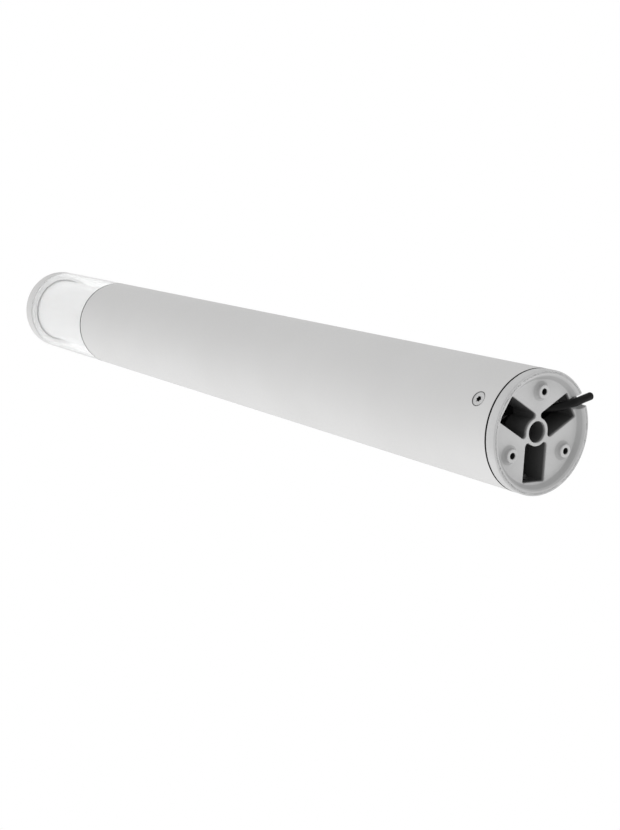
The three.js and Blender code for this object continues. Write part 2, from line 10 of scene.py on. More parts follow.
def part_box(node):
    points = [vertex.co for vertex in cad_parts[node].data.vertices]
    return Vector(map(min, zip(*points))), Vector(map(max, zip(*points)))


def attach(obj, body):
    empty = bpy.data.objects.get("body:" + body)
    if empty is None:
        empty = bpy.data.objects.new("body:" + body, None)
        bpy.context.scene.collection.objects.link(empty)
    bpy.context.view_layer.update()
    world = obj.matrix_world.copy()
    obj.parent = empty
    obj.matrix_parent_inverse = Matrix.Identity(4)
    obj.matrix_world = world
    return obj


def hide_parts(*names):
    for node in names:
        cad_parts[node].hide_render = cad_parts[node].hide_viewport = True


MM = 0.001
TAU = 2 * math.pi
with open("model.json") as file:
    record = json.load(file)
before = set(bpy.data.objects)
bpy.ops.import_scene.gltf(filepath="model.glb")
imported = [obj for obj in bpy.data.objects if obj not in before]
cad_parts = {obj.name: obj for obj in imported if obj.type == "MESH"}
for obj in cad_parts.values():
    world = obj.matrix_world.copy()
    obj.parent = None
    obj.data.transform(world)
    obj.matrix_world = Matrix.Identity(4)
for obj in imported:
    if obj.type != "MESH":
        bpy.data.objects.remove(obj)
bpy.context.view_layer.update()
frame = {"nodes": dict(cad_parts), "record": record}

# ---------------------------------------------------------------- camera
# The foot of the post is nearest, and the view looks up along the post from below the ground.
CAMERA_AT = Vector((0.5523, -0.5714, -0.7799))
CAMERA_LOOKS_AT = Vector((-0.0286, -0.0307, 0.3274))
CAMERA_UP_TURN = math.radians(26.5)  # the side of the post that is uppermost in the picture
CAMERA_LENS = 56.78  # on a sensor 36 mm along the picture's long side


def make_camera():
    data = bpy.data.cameras.new("camera")
    data.sensor_width = 36
    data.lens = CAMERA_LENS
    data.clip_start = 0.01
    data.clip_end = 50
    camera = bpy.data.objects.new("camera", data)
    bpy.context.scene.collection.objects.link(camera)
    back = (CAMERA_AT - CAMERA_LOOKS_AT).normalized()
    up = Vector((math.cos(CAMERA_UP_TURN), math.sin(CAMERA_UP_TURN), 0))
    up = (up - back * up.dot(back)).normalized()
    right = up.cross(back)
    axes = Matrix((right, up, back)).transposed().to_4x4()
    camera.matrix_world = Matrix.Translation(CAMERA_AT) @ axes
    bpy.context.scene.camera = camera


make_camera()

# ---------------------------------------------------------------- sizes, in millimetres, from the frame


def low(node):
    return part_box(node)[0] / MM


def high(node):
    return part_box(node)[1] / MM


GAP = 0.3  # left between pieces that touch
R = high("post_tube").x
POST_WALL = 3
BORE = R - POST_WALL
RIM_TOP = low("base_gasket").z - GAP
RIM_WIDTH = 4  # the flat face that stands on the ground
RIM_INNER = R - RIM_WIDTH
SPIGOT_TOP = high("base_casting").z
SPIGOT_RADIUS = BORE - GAP
SPIGOT_WALL = 5.2
SPIGOT_BORE = SPIGOT_RADIUS - SPIGOT_WALL
FLOOR_BOTTOM = 6.2  # depth of the recess under the base
FLOOR_TOP = 12.2
FLOOR_RADIUS = 45.2  # where the recess floor meets its sloping wall
WELL_TOP = low("gear_tray").z - GAP
HUB_HOLE = 9.3
HUB_RADIUS = 12.3
WINDOW_HALF = 12.3
WINDOW_OUTER = 43.3
RIB_THICKNESS = 3
RIB_START = 7.1  # the ribs beside a window start inside the hub
RIB_CORNER_CIRCLE = 14.2  # solid corners where two ribs meet the hub
RIB_CORNER_RADIUS = 4.2
ANCHOR_CIRCLE = 35.1
ANCHOR_HOLE = 2.9
BOSS_FACE = 1.2  # height of the anchor bosses' lower faces above the ground
BOSS_RADIUS = 5.7
BOSS_FLARE = 9.4
BOSS_TOP = 14
NOTCH_HALF = 6.5  # the cable's way out under the rim
NOTCH_ARCH_Z = 2.6
SLOT_HALF = 4  # slots in the spigot, open at its top, in which the locking screws stand
TRAY_SCREW_X = 8
TRAY_SCREW_Y = -24.5
TRAY_COLUMN = 4
TRAY_HOLE = 2.2
TRAY_HOLE_DEPTH = 8
SCREW_Z = (low("locking_screw_1").z + high("locking_screw_1").z) / 2
SCREW_FACE = high("locking_screw_1").y
SCREW_TIP = low("locking_screw_1").y
SCREW_HEAD = (high("locking_screw_1").z - low("locking_screw_1").z) / 2
SCREW_SHANK = 3
COUNTERSINK_GAP = 0.35
GASKET_WIDTH = 2.3
SEAL_WIDTH = 3.4
OPAL_WALL = 3.0
CLEAR_WALL = 4
CLEAR_BORE = R - CLEAR_WALL
ROD_CIRCLE = 33.0  # the rods that hold the head together
ROD_HOLE = 2.8
ROD_BOSS = 5.5
ROD_TOP = high("tie_rod_1").z
COLLAR_SKIRT = 24  # depth of the collar inside the post, below its plate
COLLAR_BORE = 44.5
COLLAR_HOLE = 26
COLLAR_LIP_WALL = 3.7
CAP_PLATE = 7
CAP_BORE = 44
CAP_SPIGOT = low("upper_seal").z - 3.3  # the spigot's lower end, inside the clear tube
WINDOW_TURNS = [math.radians(a) for a in (90, 210, 330)]
ANCHOR_TURNS = [math.radians(a) for a in (150, 270, 30)]

# ---------------------------------------------------------------- mesh helpers


def link(name, mesh):
    piece = bpy.data.objects.new(name, mesh)
    bpy.context.scene.collection.objects.link(piece)
    return piece


def make_piece(name, points, faces, sharp=35):
    """A mesh object from points in millimetres, smooth but for edges sharper than an angle."""
    mesh = bpy.data.meshes.new(name)
    mesh.from_pydata([Vector(p) * MM for p in points], [], faces)
    mesh.validate()
    mesh.shade_smooth()
    mesh.set_sharp_from_angle(angle=math.radians(sharp))
    return link(name, mesh)


SUPPORT = 0.1  # how far from a rounded corner the flat side gets its own point


def rounded(corners, steps=4):
    """An outline of (r, z) corners in which a third number rounds that corner to that radius.

    A point just before and just after each arc keeps the shading of the flat sides flat.
    """
    out = []
    for i, corner in enumerate(corners):
        here = Vector(corner[:2])
        if len(corner) < 3:
            out.append(here)
            continue
        before = (Vector(corners[i - 1][:2]) - here).normalized()
        after = (Vector(corners[(i + 1) % len(corners)][:2]) - here).normalized()
        half = before.angle(after) / 2
        start = here + before * (corner[2] / math.tan(half))
        end = here + after * (corner[2] / math.tan(half))
        centre = here + (before + after).normalized() * (corner[2] / math.sin(half))
        out.append(start + before * SUPPORT)
        for k in range(steps + 1):
            spoke = (start - centre).slerp(end - centre, k / steps).normalized()
            out.append(centre + spoke * corner[2])
        out.append(end + after * SUPPORT)
    return out


def turned(name, outline, sides=192, sharp=35):
    """Turns an outline about Z. It closes on itself, and a point on the axis is one vertex."""
    points, rings, faces = [], [], []
    for r, z in outline:
        if r < 1e-6:
            rings.append([len(points)] * sides)
            points.append((0, 0, z))
            continue
        rings.append(list(range(len(points), len(points) + sides)))
        points += [(r * math.cos(TAU * k / sides), r * math.sin(TAU * k / sides), z) for k in range(sides)]
    for i, ring in enumerate(rings):
        following = rings[(i + 1) % len(rings)]
        if ring[0] == ring[1] and following[0] == following[1]:
            continue
        for k in range(sides):
            n = (k + 1) % sides
            corners = [ring[k], ring[n], following[n], following[k]]
            faces.append(list(dict.fromkeys(corners)))
    return outward(make_piece(name, points, faces, sharp))


def outward(piece):
    """Turns every face's normal to the outside of the solid."""
    work = bmesh.new()
    work.from_mesh(piece.data)
    bmesh.ops.recalc_face_normals(work, faces=work.faces)
    work.to_mesh(piece.data)
    work.free()
    return piece


def prism(name, outline, bottom, top):
    """A flat (x, y) outline, given anticlockwise, carried from bottom to top."""
    count = len(outline)
    points = [(x, y, z) for z in (bottom, top) for x, y in outline]
    faces = [list(range(count))[::-1], list(range(count, 2 * count))]
    faces += [[i, (i + 1) % count, count + (i + 1) % count, count + i] for i in range(count)]
    return outward(make_piece(name, points, faces))


def placed(piece, matrix):
    piece.data.transform(matrix)
    return piece


def shifted(x, y, z=0):
    return Matrix.Translation(Vector((x, y, z)) * MM)


def turned_by(angle):
    return Matrix.Rotation(angle, 4, "Z")


def outwards(angle, z):
    """Stands a piece made about Z so that its own +Z points out along the ray at this angle."""
    return shifted(0, 0, z) @ turned_by(angle) @ Matrix.Rotation(math.pi / 2, 4, "Y")


def final_mesh(piece):
    """The mesh with its modifiers applied."""
    graph = bpy.context.evaluated_depsgraph_get()
    mesh = bpy.data.meshes.new_from_object(piece.evaluated_get(graph))
    piece.modifiers.clear()
    piece.data = mesh
    return piece


def combined(piece, others, operation):
    for other in others:
        modifier = piece.modifiers.new("combine", "BOOLEAN")
        modifier.operation = operation
        modifier.solver = "EXACT"
        modifier.object = other
    final_mesh(piece)
    for other in others:
        bpy.data.objects.remove(other)
    return piece


# ---------------------------------------------------------------- base casting
VOXEL = 0.5
CAST_SMOOTHING = 3  # rounds of smoothing, which soften the casting's edges
KEPT_FACES = 0.6  # share of the faces that is kept


def window_outline(steps=8):
    """The window over +Y: a hub arc, two rounded corners beside it and two small outer corners."""
    inner_round, outer_round = 3, 1
    side = WINDOW_HALF - inner_round
    corner = math.sqrt((HUB_RADIUS + inner_round) ** 2 - side**2)
    contact = math.atan2(corner, side)
    spans = [
        (WINDOW_HALF - outer_round, WINDOW_OUTER - outer_round, outer_round, 0, math.pi / 2),
        (outer_round - WINDOW_HALF, WINDOW_OUTER - outer_round, outer_round, math.pi / 2, math.pi),
        (-side, corner, inner_round, math.pi, TAU - contact),
        (0, 0, HUB_RADIUS, math.pi - contact, contact),
        (side, corner, inner_round, math.pi + contact, TAU),
    ]
    outline = []
    for x, y, r, start, end in spans:
        for k in range(steps + 1):
            a = start + (end - start) * k / steps
            point = (x + r * math.cos(a), y + r * math.sin(a))
            if not outline or math.dist(point, outline[-1]) > 1e-3:
                outline.append(point)
    return outline


def box_outline(left, right, back, front):
    return [(left, back), (right, back), (right, front), (left, front)]


def column(name, x, y, radius, bottom, top, sides=48):
    outline = [(0, bottom), (radius, bottom), (radius, top), (0, top)]
    return placed(turned(name, outline, sides), shifted(x, y))


def at_turn(radius, angle):
    return radius * math.cos(angle), radius * math.sin(angle)


def base_shell():
    return turned(
        "base_shell",
        rounded(
            [
                (HUB_HOLE, FLOOR_BOTTOM),
                (FLOOR_RADIUS, FLOOR_BOTTOM, 2.5),
                (RIM_INNER, 0, 1.0),
                (R, 0, 0.7),
                (R, RIM_TOP, 0.15),
                (SPIGOT_RADIUS, RIM_TOP),
                (SPIGOT_RADIUS, SPIGOT_TOP, 1.2),
                (SPIGOT_BORE, SPIGOT_TOP, 0.6),
                (SPIGOT_BORE, FLOOR_TOP, 2.0),
                (HUB_RADIUS, FLOOR_TOP, 1.0),
                (HUB_RADIUS, WELL_TOP, 0.5),
                (HUB_HOLE, WELL_TOP),
            ]
        ),
    )


def base_additions():
    """Anchor bosses, ribs beside the windows, corners where ribs meet the hub, and tray-screw columns."""
    parts = []
    boss = rounded(
        [
            (0, BOSS_FACE),
            (BOSS_RADIUS, BOSS_FACE, 0.5),
            (BOSS_RADIUS + 0.8, 4.4),
            (BOSS_FLARE, FLOOR_BOTTOM + 0.1, 1.8),
            (BOSS_FLARE, BOSS_TOP, 0.8),
            (0, BOSS_TOP),
        ]
    )
    for a in ANCHOR_TURNS:
        parts.append(placed(turned("boss", boss, 64), shifted(*at_turn(ANCHOR_CIRCLE, a))))
        corner = at_turn(RIB_CORNER_CIRCLE, a)
        parts.append(column("rib_corner", *corner, RIB_CORNER_RADIUS, FLOOR_BOTTOM + 1, WELL_TOP))
    for a in WINDOW_TURNS:
        for left in (-WINDOW_HALF - RIB_THICKNESS, WINDOW_HALF):
            outline = box_outline(left, left + RIB_THICKNESS, RIB_START, SPIGOT_BORE + 1)
            parts.append(placed(prism("rib", outline, FLOOR_TOP - 1, WELL_TOP), turned_by(a - math.pi / 2)))
    for side in (-1, 1):
        spot = (TRAY_SCREW_X * side, TRAY_SCREW_Y)
        parts.append(column("screw_column", *spot, TRAY_COLUMN, FLOOR_TOP - 1, WELL_TOP))
    return parts


def base_cuts():
    """Windows, anchor and tray-screw holes, the open slots for the locking screws, and the cable notch."""
    cuts = []
    for a in ANCHOR_TURNS:
        cuts.append(column("anchor_hole", *at_turn(ANCHOR_CIRCLE, a), ANCHOR_HOLE, -2, 16))
    for a in WINDOW_TURNS:
        turn = turned_by(a - math.pi / 2)
        cuts.append(placed(prism("window", window_outline(), FLOOR_BOTTOM - 2, WELL_TOP + 2), turn))
        slot = [(0, SPIGOT_BORE - 1), (SLOT_HALF, SPIGOT_BORE - 1), (SLOT_HALF, R - 2), (0, R - 2)]
        cuts.append(placed(turned("slot_end", slot, 48), outwards(a, SCREW_Z)))
        opening = box_outline(SPIGOT_BORE - 1, R - 2, -SLOT_HALF, SLOT_HALF)
        cuts.append(placed(prism("slot", opening, SCREW_Z, SPIGOT_TOP + 2), turned_by(a)))
    start, end = WINDOW_OUTER - 2, R + 3
    arch = [(0, start), (NOTCH_HALF, start), (NOTCH_HALF, end), (0, end)]
    cuts.append(placed(turned("notch_arch", arch, 48), outwards(math.pi / 2, NOTCH_ARCH_Z)))
    cuts.append(prism("notch", box_outline(-NOTCH_HALF, NOTCH_HALF, start, end), -2, NOTCH_ARCH_Z))
    for side in (-1, 1):
        spot = (TRAY_SCREW_X * side, TRAY_SCREW_Y)
        cuts.append(column("tray_hole", *spot, TRAY_HOLE, WELL_TOP - TRAY_HOLE_DEPTH, WELL_TOP + 2, 32))
    return cuts


def make_base():
    """Joins and cuts the shell, then rounds every edge a little, as on a casting."""
    shell = combined(base_shell(), base_additions(), "UNION")
    combined(shell, base_cuts(), "DIFFERENCE")
    remesh = shell.modifiers.new("even", "REMESH")
    remesh.mode = "VOXEL"
    remesh.voxel_size = VOXEL * MM
    smooth = shell.modifiers.new("cast_edges", "SMOOTH")
    smooth.factor = 0.5
    smooth.iterations = CAST_SMOOTHING
    thin = shell.modifiers.new("fewer_faces", "DECIMATE")
    thin.ratio = KEPT_FACES
    final_mesh(shell)
    shell.data.shade_smooth()
    shell.name = "cast_base"
    return shell


# ---------------------------------------------------------------- drilled post tube
PATCH = 12  # rows and columns of the square of mesh round each screw hole
PATCH_HALF = 12.0
PLAIN = 48  # columns between two squares
HOLE_RINGS = 4


def cone_radius(x):
    """The countersink's radius at a distance x from the post's axis."""
    neck = SCREW_SHANK + COUNTERSINK_GAP
    return neck + x - (SCREW_FACE - (SCREW_HEAD - SCREW_SHANK))


def hole_point(wall, spin):
    """Where the countersink meets a round wall: (angle round the post, height above the screw)."""
    rho = SCREW_HEAD
    for _ in range(20):
        rho = cone_radius(math.sqrt(wall**2 - (rho * math.cos(spin)) ** 2))
    return math.asin(rho * math.cos(spin) / wall), rho * math.sin(spin)


def make_post():
    """The drilled tube: an even grid of faces, with a ring of faces round each countersunk hole."""
    bottom, top = low("post_tube").z, high("post_tube").z
    edge = 0.2
    half_turn = PATCH_HALF / R
    columns = []
    for a in WINDOW_TURNS:
        columns += [a - half_turn + 2 * half_turn * k / PATCH for k in range(PATCH)]
        gap = TAU / 3 - 2 * half_turn
        columns += [a + half_turn + gap * k / PLAIN for k in range(PLAIN)]
    below = [bottom, bottom + edge * 0.3, bottom + edge, bottom + edge + SUPPORT, bottom + 3]
    square = [SCREW_Z - PATCH_HALF + 2 * PATCH_HALF * k / PATCH for k in range(PATCH + 1)]
    above = [square[-1] + (top - edge - SUPPORT - square[-1]) * k / 24 for k in range(1, 25)]
    rows = below + square + above + [top - edge, top - edge * 0.3, top]
    inset = {0: edge, 1: edge * 0.3, len(rows) - 2: edge * 0.3, len(rows) - 1: edge}
    first_row = len(below)
    points, faces = [], []
    hole_rings = []

    def shell(wall, flip):
        start = len(points)
        count = len(columns)
        for j, z in enumerate(rows):
            r = wall + (inset.get(j, 0) if flip else -inset.get(j, 0))
            points.extend((r * math.cos(a), r * math.sin(a), z) for a in columns)

        def grid(j, k):
            return start + j * count + k % count

        def face(*corners):
            faces.append(list(corners)[::-1] if flip else list(corners))

        for j in range(len(rows) - 1):
            for k in range(count):
                in_square = first_row <= j < first_row + PATCH and k % (PATCH + PLAIN) < PATCH
                if not in_square:
                    face(grid(j, k), grid(j, k + 1), grid(j + 1, k + 1), grid(j + 1, k))
        rings = []
        for hole, a in enumerate(WINDOW_TURNS):
            left = hole * (PATCH + PLAIN)
            border = [(0, k) for k in range(PATCH)] + [(j, PATCH) for j in range(PATCH)]
            border += [(PATCH, PATCH - k) for k in range(PATCH)] + [(PATCH - j, 0) for j in range(PATCH)]
            outer = [grid(first_row + j, left + k) for j, k in border]
            spots = [(2 * k / PATCH - 1, 2 * j / PATCH - 1) for j, k in border]
            spots = [(u * half_turn, v * PATCH_HALF) for u, v in spots]
            targets = [hole_point(wall, math.atan2(v, u * wall)) for u, v in spots]
            for step in range(1, HOLE_RINGS + 1):
                t = step / HOLE_RINGS
                ring = list(range(len(points), len(points) + len(border)))
                for (u, v), (p, q) in zip(spots, targets):
                    angle, z = a + u + (p - u) * t, SCREW_Z + v + (q - v) * t
                    points.append((wall * math.cos(angle), wall * math.sin(angle), z))
                for i in range(len(border)):
                    n = (i + 1) % len(border)
                    face(outer[i], outer[n], ring[n], ring[i])
                outer = ring
            rings.append(outer)
        hole_rings.append(rings)
        return grid

    outer_grid = shell(R, False)
    inner_grid = shell(BORE, True)
    for outer, inner in zip(*hole_rings):
        for i in range(len(outer)):
            n = (i + 1) % len(outer)
            faces.append([outer[i], outer[n], inner[n], inner[i]])
    for k in range(len(columns)):
        last = len(rows) - 1
        n = k + 1
        faces.append([inner_grid(0, k), inner_grid(0, n), outer_grid(0, n), outer_grid(0, k)])
        faces.append([outer_grid(last, k), outer_grid(last, n), inner_grid(last, n), inner_grid(last, k)])
    return make_piece("post_shell", points, faces, 30)


# ---------------------------------------------------------------- locking screws
THREAD_PITCH = 1.0
THREAD_DEPTH = 0.5
TIP_FACE = 2.1
TIP_EDGE = 2.7
HEAD_FLAT = 3.6  # the flat ring of the head's face, round the recess
STAR_OUTER = 2.8
STAR_INNER = 2.05
STAR_DEPTH = 2.4


def star(spin):
    """The radius of the six-lobed recess at an angle round the screw."""
    return (STAR_OUTER + STAR_INNER) / 2 + (STAR_OUTER - STAR_INNER) / 2 * math.cos(6 * spin)


def make_screw(name, turn):
    """A countersunk screw as rings of points, each level a distance from the post's axis and a radius."""
    sides = 72
    neck = SCREW_FACE - (SCREW_HEAD - SCREW_SHANK)

    def thread(x):
        fade = min(1, (x - SCREW_TIP) / 1.5, (neck - 0.6 - x) / 0.8)

        def radius(spin):
            wave = abs(((x / THREAD_PITCH + spin / TAU) % 1) * 2 - 1)
            return SCREW_SHANK - THREAD_DEPTH * (0.15 + 0.85 * wave) * max(0, fade)

        return radius

    levels = [(SCREW_TIP, lambda s: 0.001), (SCREW_TIP, lambda s: TIP_FACE)]
    levels.append((SCREW_TIP + 0.6, lambda s: TIP_EDGE))
    thread_start = SCREW_TIP + 0.8
    thread_length = neck - 0.4 - thread_start
    steps = round(thread_length * 7)
    for k in range(steps + 1):
        x = thread_start + thread_length * k / steps
        levels.append((x, thread(x)))
    levels += [(neck, lambda s: SCREW_SHANK), (SCREW_FACE - 0.25, lambda s: SCREW_HEAD - 0.2)]
    levels += [(SCREW_FACE - 0.1, lambda s: SCREW_HEAD - 0.06), (SCREW_FACE, lambda s: SCREW_HEAD - 0.2)]
    levels += [(SCREW_FACE, lambda s: HEAD_FLAT), (SCREW_FACE, lambda s: star(s) + 0.2)]
    levels += [(SCREW_FACE - 0.2, star), (SCREW_FACE - STAR_DEPTH, star)]
    levels.append((SCREW_FACE - STAR_DEPTH - 0.6, lambda s: 0.001))
    points, faces = [], []
    for x, radius in levels:
        for k in range(sides):
            spin = TAU * k / sides
            points.append((radius(spin) * math.cos(spin), radius(spin) * math.sin(spin), x))
    for i in range(len(levels) - 1):
        for k in range(sides):
            n = (k + 1) % sides
            a, b = i * sides, (i + 1) * sides
            faces.append([a + k, a + n, b + n, b + k])
    faces.append(list(range(sides))[::-1])
    last = (len(levels) - 1) * sides
    faces.append(list(range(last, last + sides)))
    screw = make_piece(name, points, faces, 30)
    return placed(screw, outwards(turn, SCREW_Z))


# ---------------------------------------------------------------- supply cable
CABLE_RADIUS = 3.55
CABLE_ROUTE = [
    (8.2, 16.5, 41.7),
    (8.2, 16.5, 38),
    (7.9, 18.5, 26.4),
    (6.6, 24.2, 16.2),
    (4.4, 32.9, 8.6),
    (1.5, 43.6, 4.6),
    (0, 49.3, 4.1),
    (-2.1, 57, 4),
    (-4.3, 65.4, 4),
]


def smooth_route(route, per_span=10):
    """Points along a Catmull-Rom curve through the route."""
    spots = [Vector(p) for p in route]
    spots = [spots[0] * 2 - spots[1]] + spots + [spots[-1] * 2 - spots[-2]]
    out = []
    for i in range(1, len(spots) - 2):
        a, b, c, d = spots[i - 1 : i + 3]
        bend = 2 * a - 5 * b + 4 * c - d
        twist = 3 * b - a - 3 * c + d
        for k in range(per_span):
            t = k / per_span
            out.append(0.5 * (2 * b + (c - a) * t + bend * t**2 + twist * t**3))
    out.append(spots[-2])
    return out


CORE_LOBES = 3
LOBE_DEPTH = 0.14
CAP_STEPS = 6  # rings in a rounded end
LOBE_TURN = 55  # millimetres in which the cores inside twist once round


def make_tube(name, path, radius, sides=48, end_rounds=(0.4, 2.2)):
    """A tube along a path: its ends are rounded, and the twisted cores inside show as soft lobes."""
    points, faces = [], []
    normal = (path[1] - path[0]).orthogonal().normalized()
    stations = [0]
    for a, b in zip(path, path[1:]):
        stations.append(stations[-1] + (b - a).length)
    rings = []
    for i, spot in enumerate(path):
        along = (path[min(i + 1, len(path) - 1)] - path[max(i - 1, 0)]).normalized()
        normal = (normal - along * normal.dot(along)).normalized()
        rings.append((spot, normal.copy(), along.cross(normal), radius, stations[i]))

    def cap(ring, inward, amount):
        spot, a, b, r, station = ring
        out = []
        for k in range(CAP_STEPS + 1):
            t = math.pi / 2 * k / CAP_STEPS
            drop = amount * (1 - math.cos(t))
            out.append((spot + inward * amount * (1 - math.sin(t)), a, b, r - drop, station))
        return out

    first = cap(rings[0], (rings[1][0] - rings[0][0]).normalized(), end_rounds[0])
    last = cap(rings[-1], (rings[-2][0] - rings[-1][0]).normalized(), end_rounds[1])
    clear = [r for r in rings if end_rounds[0] < r[4] < stations[-1] - end_rounds[1]]
    rings = first[::-1] + clear + last
    for spot, a, b, r, station in rings:
        for k in range(sides):
            spin = TAU * k / sides
            lobe = 0.5 - 0.5 * math.cos(CORE_LOBES * (spin + TAU * station / LOBE_TURN))
            points.append(spot + (a * math.cos(spin) + b * math.sin(spin)) * (r - LOBE_DEPTH * lobe))
    for i in range(len(rings) - 1):
        for k in range(sides):
            n = (k + 1) % sides
            faces.append([i * sides + k, i * sides + n, (i + 1) * sides + n, (i + 1) * sides + k])
    faces.append(list(range(sides))[::-1])
    last = (len(rings) - 1) * sides
    faces.append(list(range(last, last + sides)))
    return outward(make_piece(name, points, faces, 40))


# ---------------------------------------------------------------- head


def ring_outline(outer, inner, bottom, top, edge):
    return rounded([(inner, bottom, edge), (outer, bottom, edge), (outer, top, edge), (inner, top, edge)])


def node_ring(name, node, width, edge):
    """A finely turned ring with a CAD ring's outer size and height, and edges of a given radius."""
    outer = high(node).x
    return turned(name, ring_outline(outer, outer - width, low(node).z, high(node).z, edge))


def rod_cutters(bottom, top):
    return [column("rod_hole", *at_turn(ROD_CIRCLE, a), ROD_HOLE, bottom, top, 32) for a in ANCHOR_TURNS]


def make_collar():
    """The collar between the post and the clear tube, with a hole for each rod and one for the lead."""
    bottom, top = low("head_collar").z, high("head_collar").z
    plate, shoulder = bottom + COLLAR_SKIRT, high("post_tube").z
    lip = CLEAR_BORE - GAP
    outline = [
        (COLLAR_HOLE, plate, 0.4),
        (COLLAR_BORE, plate),
        (COLLAR_BORE, bottom, 0.4),
        (SPIGOT_RADIUS, bottom, 1.0),
        (SPIGOT_RADIUS, shoulder),
        (lip, shoulder),
        (lip, top, 0.6),
        (lip - COLLAR_LIP_WALL, top, 0.6),
        (lip - COLLAR_LIP_WALL, shoulder, 0.4),
        (COLLAR_HOLE, shoulder, 0.4),
    ]
    collar = turned("turned_collar", rounded(outline))
    return combined(collar, rod_cutters(plate - 2, shoulder + 2), "DIFFERENCE")


def make_cap():
    """The cap, whose spigot stands in the clear tube and whose bosses take the rods."""
    top, bottom = high("top_cap").z, low("top_cap").z
    shoulder = high("upper_seal").z + GAP
    underside = top - CAP_PLATE
    lip = CLEAR_BORE - GAP
    outline = [
        (0, underside),
        (CAP_BORE, underside, 1.5),
        (CAP_BORE, CAP_SPIGOT, 0.4),
        (lip, CAP_SPIGOT, 0.8),
        (lip, shoulder),
        (R, shoulder, 0.5),
        (R, top, 0.8),
        (0, top),
    ]
    cap = turned("turned_cap", rounded(outline))
    spots = [at_turn(ROD_CIRCLE, a) for a in ANCHOR_TURNS]
    bosses = [column("rod_boss", *spot, ROD_BOSS, bottom, underside + 1) for spot in spots]
    combined(cap, bosses, "UNION")
    return combined(cap, rod_cutters(bottom - 2, ROD_TOP + 1), "DIFFERENCE")


# ---------------------------------------------------------------- materials


class Look:
    """A node material whose shader is a Principled BSDF."""

    def __init__(self, name, color, roughness, metallic=0.0):
        self.material = bpy.data.materials.new(name)
        self.material.use_nodes = True
        self.tree = self.material.node_tree
        self.shader = self.tree.nodes["Principled BSDF"]
        self.set("Base Color", (*color, 1))
        self.set("Roughness", roughness)
        self.set("Metallic", metallic)

    def set(self, socket, value):
        self.shader.inputs[socket].default_value = value

    def node(self, kind, inputs=(), **settings):
        made = self.tree.nodes.new(kind)
        for key, value in settings.items():
            setattr(made, key, value)
        for socket, value in dict(inputs).items():
            if isinstance(value, bpy.types.NodeSocket):
                self.tree.links.new(value, made.inputs[socket])
            else:
                made.inputs[socket].default_value = value
        return made

    def place(self, scale=(1, 1, 1)):
        """Object coordinates, which are metres in the row frame."""
        coordinates = self.node("ShaderNodeTexCoord").outputs["Object"]
        return self.node("ShaderNodeMapping", {"Vector": coordinates, "Scale": scale}).outputs["Vector"]

    def noise(self, scale, detail=3, roughness=0.5, stretch=(1, 1, 1)):
        inputs = {"Vector": self.place(stretch), "Scale": scale, "Detail": detail, "Roughness": roughness}
        return self.node("ShaderNodeTexNoise", inputs).outputs["Fac"]

    def ramp(self, value, low_at, low_value, high_at, high_value):
        inputs = {"Value": value, "From Min": low_at, "From Max": high_at}
        inputs |= {"To Min": low_value, "To Max": high_value}
        return self.node("ShaderNodeMapRange", inputs).outputs["Result"]

    def mix(self, factor, first, second):
        made = self.tree.nodes.new("ShaderNodeMix")
        made.data_type = "RGBA"
        for socket, value in ((made.inputs[0], factor), (made.inputs[6], first), (made.inputs[7], second)):
            if isinstance(value, bpy.types.NodeSocket):
                self.tree.links.new(value, socket)
            else:
                socket.default_value = value
        return made.outputs[2]

    def drive(self, socket, value):
        self.tree.links.new(value, self.shader.inputs[socket])

    def bump(self, height, strength, distance):
        inputs = {"Height": height, "Strength": strength, "Distance": distance}
        self.drive("Normal", self.node("ShaderNodeBump", inputs).outputs["Normal"])


def grey(value, warmth=0.0):
    return (value * (1 + warmth), value, value * (1 - warmth))


def product(look, first, second):
    return look.node("ShaderNodeMath", {0: first, 1: second}, operation="MULTIPLY").outputs[0]


def inside(look, radius, low_z, high_z, top_z, x=0, y=0):
    """1 within a radius of an upright line through (x, y), from high_z up to top_z, fading in from low_z."""
    from_line = {0: look.place(), 1: (x * MM, y * MM, 0)}
    offset = look.node("ShaderNodeVectorMath", from_line, operation="SUBTRACT").outputs[0]
    flat = look.node("ShaderNodeVectorMath", {0: offset, 1: (1, 1, 0)}, operation="MULTIPLY").outputs[0]
    away = look.node("ShaderNodeVectorMath", {0: flat}, operation="LENGTH").outputs["Value"]
    height = look.node("ShaderNodeSeparateXYZ", {0: offset}).outputs["Z"]
    within = look.ramp(away, radius * MM, 1, (radius + 0.4) * MM, 0)
    above = look.ramp(height, low_z * MM, 0, high_z * MM, 1)
    below = look.ramp(height, top_z * MM, 1, (top_z + 0.5) * MM, 0)
    return product(look, product(look, within, above), below)


PAINTED_JOINT_SHADE = 0.015  # painted shade: the faces beside the rubber gasket, darkened as the shadow in the joint
PAINTED_DEEP_SHADE = 0.02  # painted shade in the anchor holes and the screws' recesses
# painted shade in the wells inside the base
PAINTED_WELL_SHADE = 0.08
PAINTED_SLOPE_SHADE = 0.36  # painted shade on the sloping wall of the recess under the base, inside the rim
# painted shade in the post's bore
PAINTED_BORE_SHADE = 0.16
PAINTED_SINK_SHADE = 0.12  # painted shade in the countersunk holes for the locking screws
HEAD_PAINTED_LIGHT = 0.85  # painted light: the rings that hold the tubes, seen through the clear plastic, are painted pale to lift the shade they lie in


def height_ramp(look, low_z, low_value, high_z, high_value):
    """A value that changes with the height, between two levels."""
    height = look.node("ShaderNodeSeparateXYZ", {0: look.place()}).outputs["Z"]
    return look.ramp(height, low_z * MM, low_value, high_z * MM, high_value)


